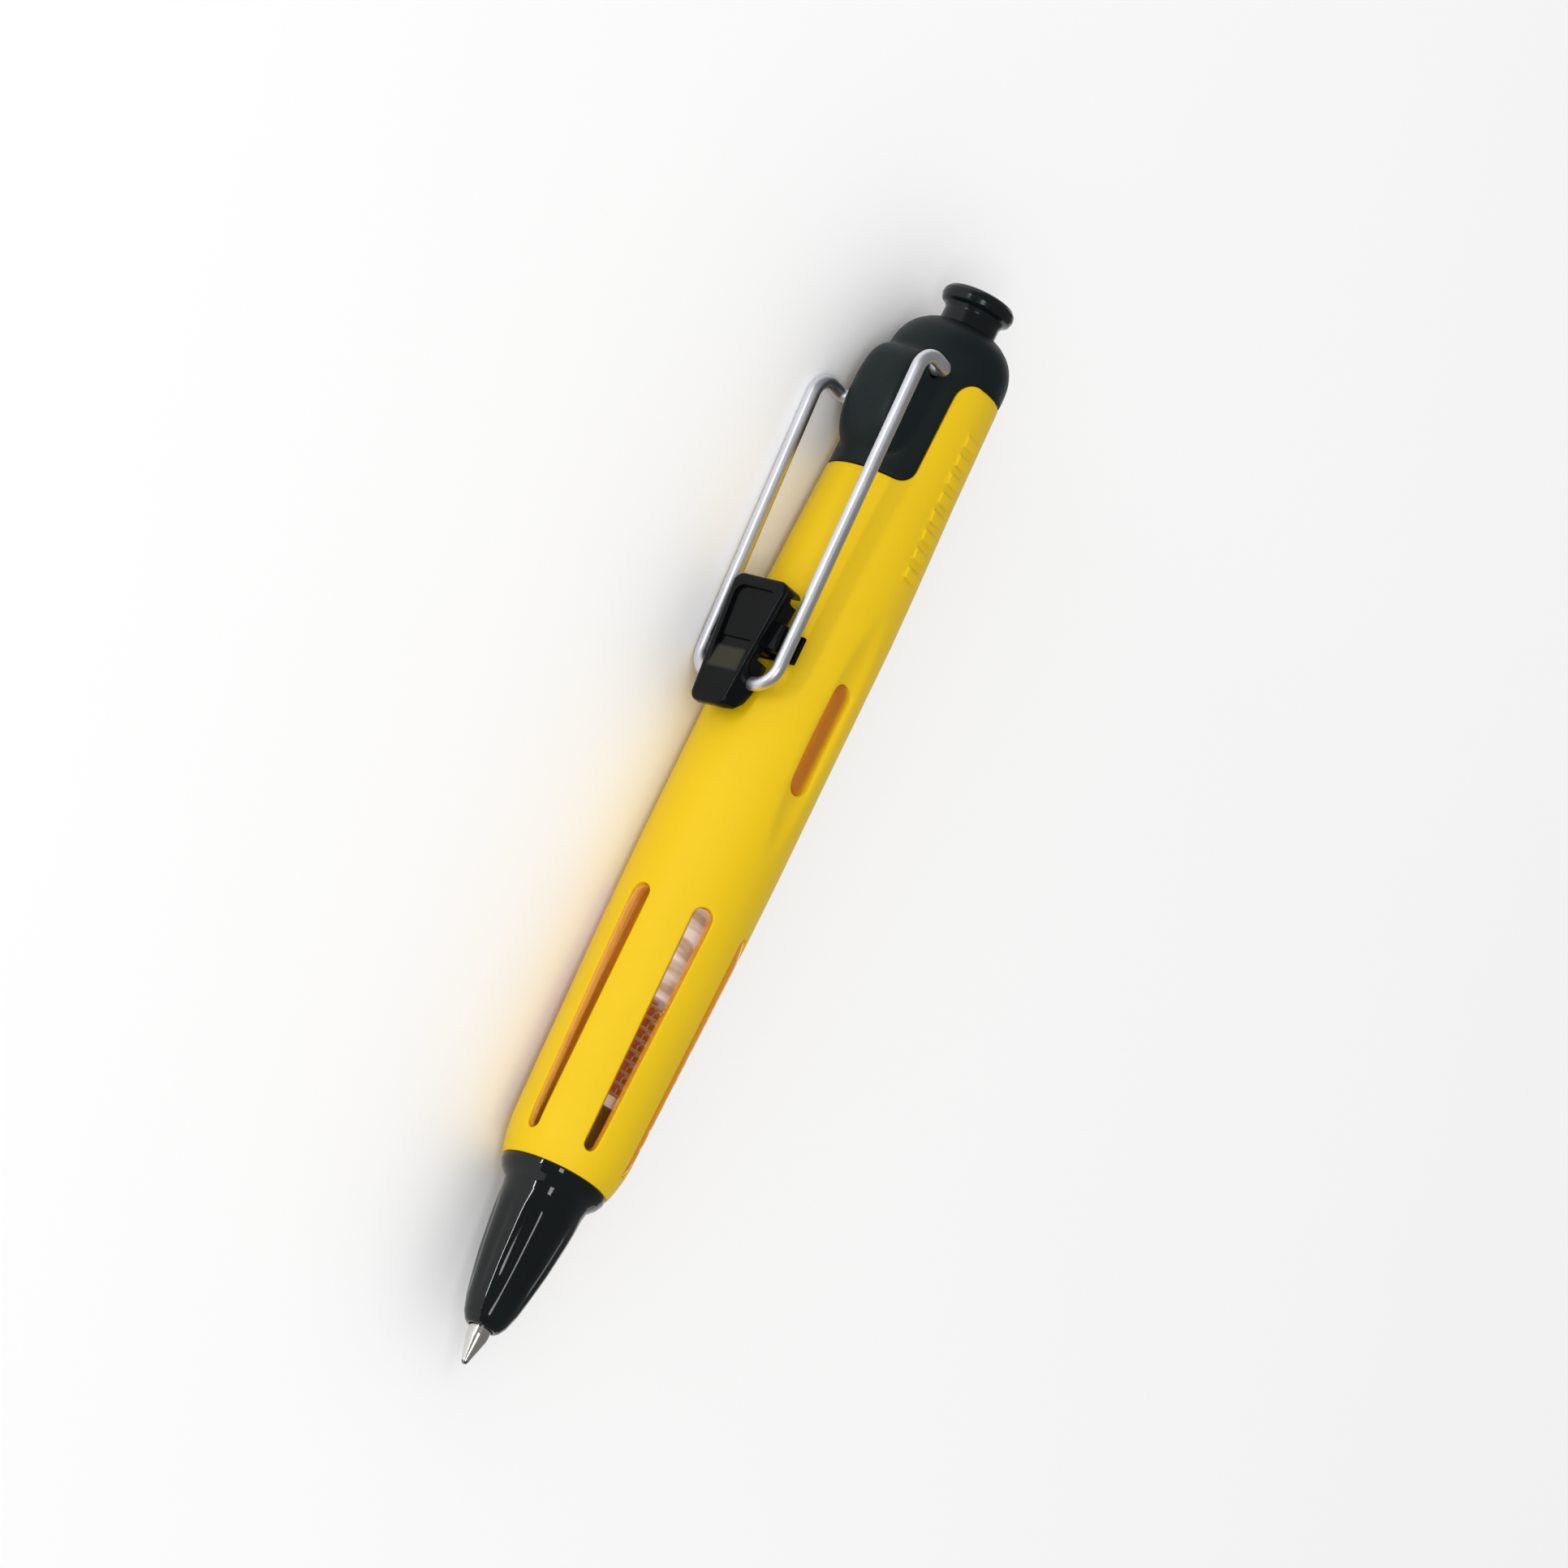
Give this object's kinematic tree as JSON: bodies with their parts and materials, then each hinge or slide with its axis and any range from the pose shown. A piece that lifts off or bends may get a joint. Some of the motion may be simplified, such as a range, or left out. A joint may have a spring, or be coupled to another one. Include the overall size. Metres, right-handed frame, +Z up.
{
  "type": "retractable ballpoint pen",
  "caption": "Knock-operated pressurised ballpoint pen with a soft yellow barrel, clear grip ribs, dark cap and nose, and a sprung wire-loop clip.",
  "frame": {"origin": "centre of the bounding box's underside, where the pen lies on a table", "axes": "+X along the pen towards the writing tip, -Y towards the clip, +Z up from the table the pen lies on"},
  "size_m": [0.1262, 0.0192, 0.0149],
  "materials": {
    "ball_metal": "polished hard metal with a film of blue-black ink",
    "tip_metal": "turned nickel silver, bright",
    "holder_plastic": "smooth dark red-brown plastic",
    "refill_clear": "milky clear plastic",
    "ink": "thick dark ink",
    "grease": "clear grease",
    "tail_plastic": "moulded pale plastic",
    "spring_steel": "bright drawn wire",
    "seat_plastic": "moulded pale plastic",
    "nose_plastic": "polished black plastic",
    "amber_clear": "clear amber plastic",
    "yellow_skin": "soft matte elastomer with a faint sheen",
    "cylinder_plastic": "smooth translucent plastic",
    "seal_rubber": "black nitrile rubber",
    "piston_plastic": "moulded grey plastic",
    "latch_plastic": "moulded black plastic",
    "guide_plastic": "moulded dark grey plastic",
    "knob_plastic": "half-gloss black plastic",
    "cap_plastic": "fine matte greenish black plastic",
    "clip_steel": "satin plated steel wire",
    "clamp_plastic": "polished black plastic"
  },
  "bodies": {
    "barrel": {"nose_cone": "nose_plastic", "spring_seat": "seat_plastic", "return_spring": "spring_steel", "inner_barrel": "amber_clear", "barrel_cover": "yellow_skin", "air_cylinder": "cylinder_plastic", "cylinder_seal": "seal_rubber", "pump_spring": "spring_steel", "cam_guide": "guide_plastic", "cap_housing": "cap_plastic"},
    "knob_unit": {"knob": "knob_plastic", "push_rod": "latch_plastic"},
    "latch_rotor": {"cam_rotor": "latch_plastic"},
    "piston_unit": {"piston": "piston_plastic", "piston_ring": "seal_rubber"},
    "refill_unit": {"tip_cone": "tip_metal", "tip_holder": "holder_plastic", "refill_tube": "refill_clear", "ink_column": "ink", "ink_follower": "grease", "refill_tail_plug": "tail_plastic"},
    "writing_ball": {"tip_ball": "ball_metal"},
    "clip": {"clip_wire": "clip_steel", "clip_clamp": "clamp_plastic"}
  },
  "joints": [
    {"name": "knob_slide", "type": "slide", "parent": "barrel", "child": "knob_unit", "axis": [1, 0, 0], "range_m": [-0.006, 0.0012], "stiffness_N_per_m": 120},
    {"name": "piston_slide", "type": "slide", "parent": "barrel", "child": "piston_unit", "axis": [1, 0, 0], "range_m": [-0.006, 0.0012], "deforming": ["pump_spring"]},
    {"name": "refill_slide", "type": "slide", "parent": "barrel", "child": "refill_unit", "axis": [1, 0, 0], "range_m": [-0.006, 0.0012], "deforming": ["return_spring"]},
    {"name": "rotor_turn", "type": "hinge", "parent": "knob_unit", "child": "latch_rotor", "pos_m": [-0.0295, 0.00206, 0.00743], "axis": [1, 0, 0], "continuous": true},
    {"name": "ball_roll", "type": "hinge", "parent": "refill_unit", "child": "writing_ball", "pos_m": [0.0627, 0.00206, 0.00743], "axis": [0, 1, 0], "continuous": true},
    {"name": "clip_swing", "type": "hinge", "parent": "barrel", "child": "clip", "pos_m": [-0.0495, -0.00412, 0.00696], "axis": [0.5928, 0.0605, -0.8031], "range_deg": [0, 15], "stiffness_Nm_per_rad": 0.6}
  ],
  "couplings": [
    {"joint": "piston_slide", "follows": "knob_slide", "ratio": 1},
    {"joint": "refill_slide", "follows": "knob_slide", "ratio": 1}
  ]
}
